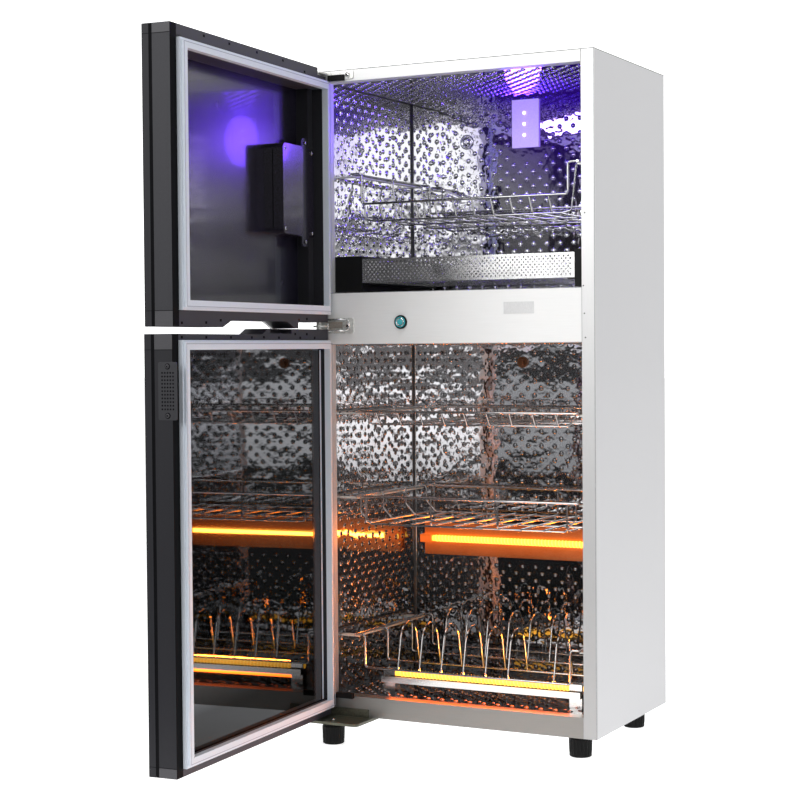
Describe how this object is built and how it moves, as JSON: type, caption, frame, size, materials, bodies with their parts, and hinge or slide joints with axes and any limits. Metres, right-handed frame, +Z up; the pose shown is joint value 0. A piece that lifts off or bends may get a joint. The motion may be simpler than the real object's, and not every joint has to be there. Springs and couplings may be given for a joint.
{
  "type": "dish sterilizer cabinet",
  "caption": "Tall floor-standing dish sterilizer cabinet with hinged glass doors, dimpled steel compartments, wire racks, a slide-out tray, heater tubes and feet.",
  "frame": {"origin": "on the floor under the middle of the cabinet's body", "axes": "+X to the right seen from the front, +Y to the back, +Z up"},
  "size_m": [0.4805, 0.792, 1.0365],
  "materials": {
    "body_paint": "satin",
    "frame_steel": "brushed",
    "liner_steel": "polished, dimpled",
    "door_glass": "gloss, dark backed",
    "door_plastic": "satin",
    "door_panel": "gloss",
    "inner_glass": "gloss, tinted",
    "seal_rubber": "satin",
    "box_plastic": "gloss",
    "hinge_steel": "satin",
    "bracket_paint": "satin",
    "black_plastic": "matt",
    "button_plastic": "gloss",
    "label_film": "satin",
    "lamp_metal": "satin",
    "sensor_metal": "dull",
    "heater_quartz": "clear, glowing",
    "reflector_metal": "polished",
    "rack_wire": "polished",
    "tray_steel": "polished, perforated"
  },
  "bodies": {
    "cabinet": {"side_panel_left": "body_paint", "side_panel_right": "body_paint", "top_panel": "body_paint", "back_panel": "body_paint", "base_panel": "body_paint", "front_stile_left": "frame_steel", "front_stile_right": "frame_steel", "top_rail": "frame_steel", "bottom_rail": "frame_steel", "control_beam": "frame_steel", "liner_left": "liner_steel", "liner_right": "liner_steel", "liner_back": "liner_steel", "liner_ceiling": "liner_steel", "upper_floor": "liner_steel", "lower_ceiling": "liner_steel", "liner_floor": "liner_steel", "button_bezel": "black_plastic", "hinge_top_cover": "black_plastic", "door_stop": "black_plastic", "tray_guides": "black_plastic", "cord_gland": "black_plastic", "foot_front_left": "black_plastic", "foot_front_right": "black_plastic", "foot_rear_left": "black_plastic", "foot_rear_right": "black_plastic", "label_plate": "label_film", "uv_lamp_module": "lamp_metal", "temperature_sensor": "sensor_metal", "front_heater_tube": "heater_quartz", "rear_heater_tube": "heater_quartz", "front_heater_reflector": "reflector_metal", "rear_heater_reflector": "reflector_metal", "hinge_top": "hinge_steel", "hinge_middle": "hinge_steel", "rack_rails": "hinge_steel", "hinge_bottom": "bracket_paint"},
    "upper_door": {"upper_door_glass": "door_glass", "upper_door_hinge_stile": "door_plastic", "upper_door_free_stile": "door_plastic", "upper_door_bottom_cap": "door_plastic", "upper_door_top_cap": "door_plastic", "upper_door_panel": "door_panel", "upper_door_seal": "seal_rubber", "control_box_base": "box_plastic", "control_box_cover": "box_plastic"},
    "lower_door": {"lower_door_glass": "door_glass", "lower_door_hinge_stile": "door_plastic", "lower_door_free_stile": "door_plastic", "lower_door_bottom_cap": "door_plastic", "lower_door_top_cap": "door_plastic", "lower_door_inner_glass": "inner_glass", "lower_door_seal": "seal_rubber", "vent_plate": "hinge_steel"},
    "cup_rack": {"cup_rack": "rack_wire"},
    "bowl_rack": {"bowl_rack": "rack_wire"},
    "plate_rack": {"plate_rack": "rack_wire"},
    "wire_basket": {"wire_basket": "rack_wire"},
    "perforated_tray": {"perforated_tray": "tray_steel"},
    "power_button": {"power_button": "button_plastic"}
  },
  "joints": [
    {"name": "upper_door_hinge", "type": "hinge", "parent": "cabinet", "child": "upper_door", "pos_m": [-0.2163, -0.1728, 0.837], "axis": [0, 0, -1], "range_deg": [-86.5, 23.5]},
    {"name": "lower_door_hinge", "type": "hinge", "parent": "cabinet", "child": "lower_door", "pos_m": [-0.2163, -0.1728, 0.333], "axis": [0, 0, -1], "range_deg": [-86.7, 23.3]},
    {"name": "wire_basket_slide", "type": "slide", "parent": "cabinet", "child": "wire_basket", "axis": [0, -1, 0], "range_m": [0, 0.15]},
    {"name": "perforated_tray_slide", "type": "slide", "parent": "cabinet", "child": "perforated_tray", "axis": [0, -1, 0], "range_m": [0, 0.15]},
    {"name": "cup_rack_slide", "type": "slide", "parent": "cabinet", "child": "cup_rack", "axis": [0, -1, 0], "range_m": [0, 0.15]},
    {"name": "bowl_rack_slide", "type": "slide", "parent": "cabinet", "child": "bowl_rack", "axis": [0, -1, 0], "range_m": [0, 0.15]},
    {"name": "plate_rack_slide", "type": "slide", "parent": "cabinet", "child": "plate_rack", "axis": [0, -1, 0], "range_m": [0, 0.15]},
    {"name": "button_press", "type": "slide", "parent": "cabinet", "child": "power_button", "axis": [0, 1, 0], "range_m": [0, 0.002], "stiffness_N_per_m": 500}
  ]
}
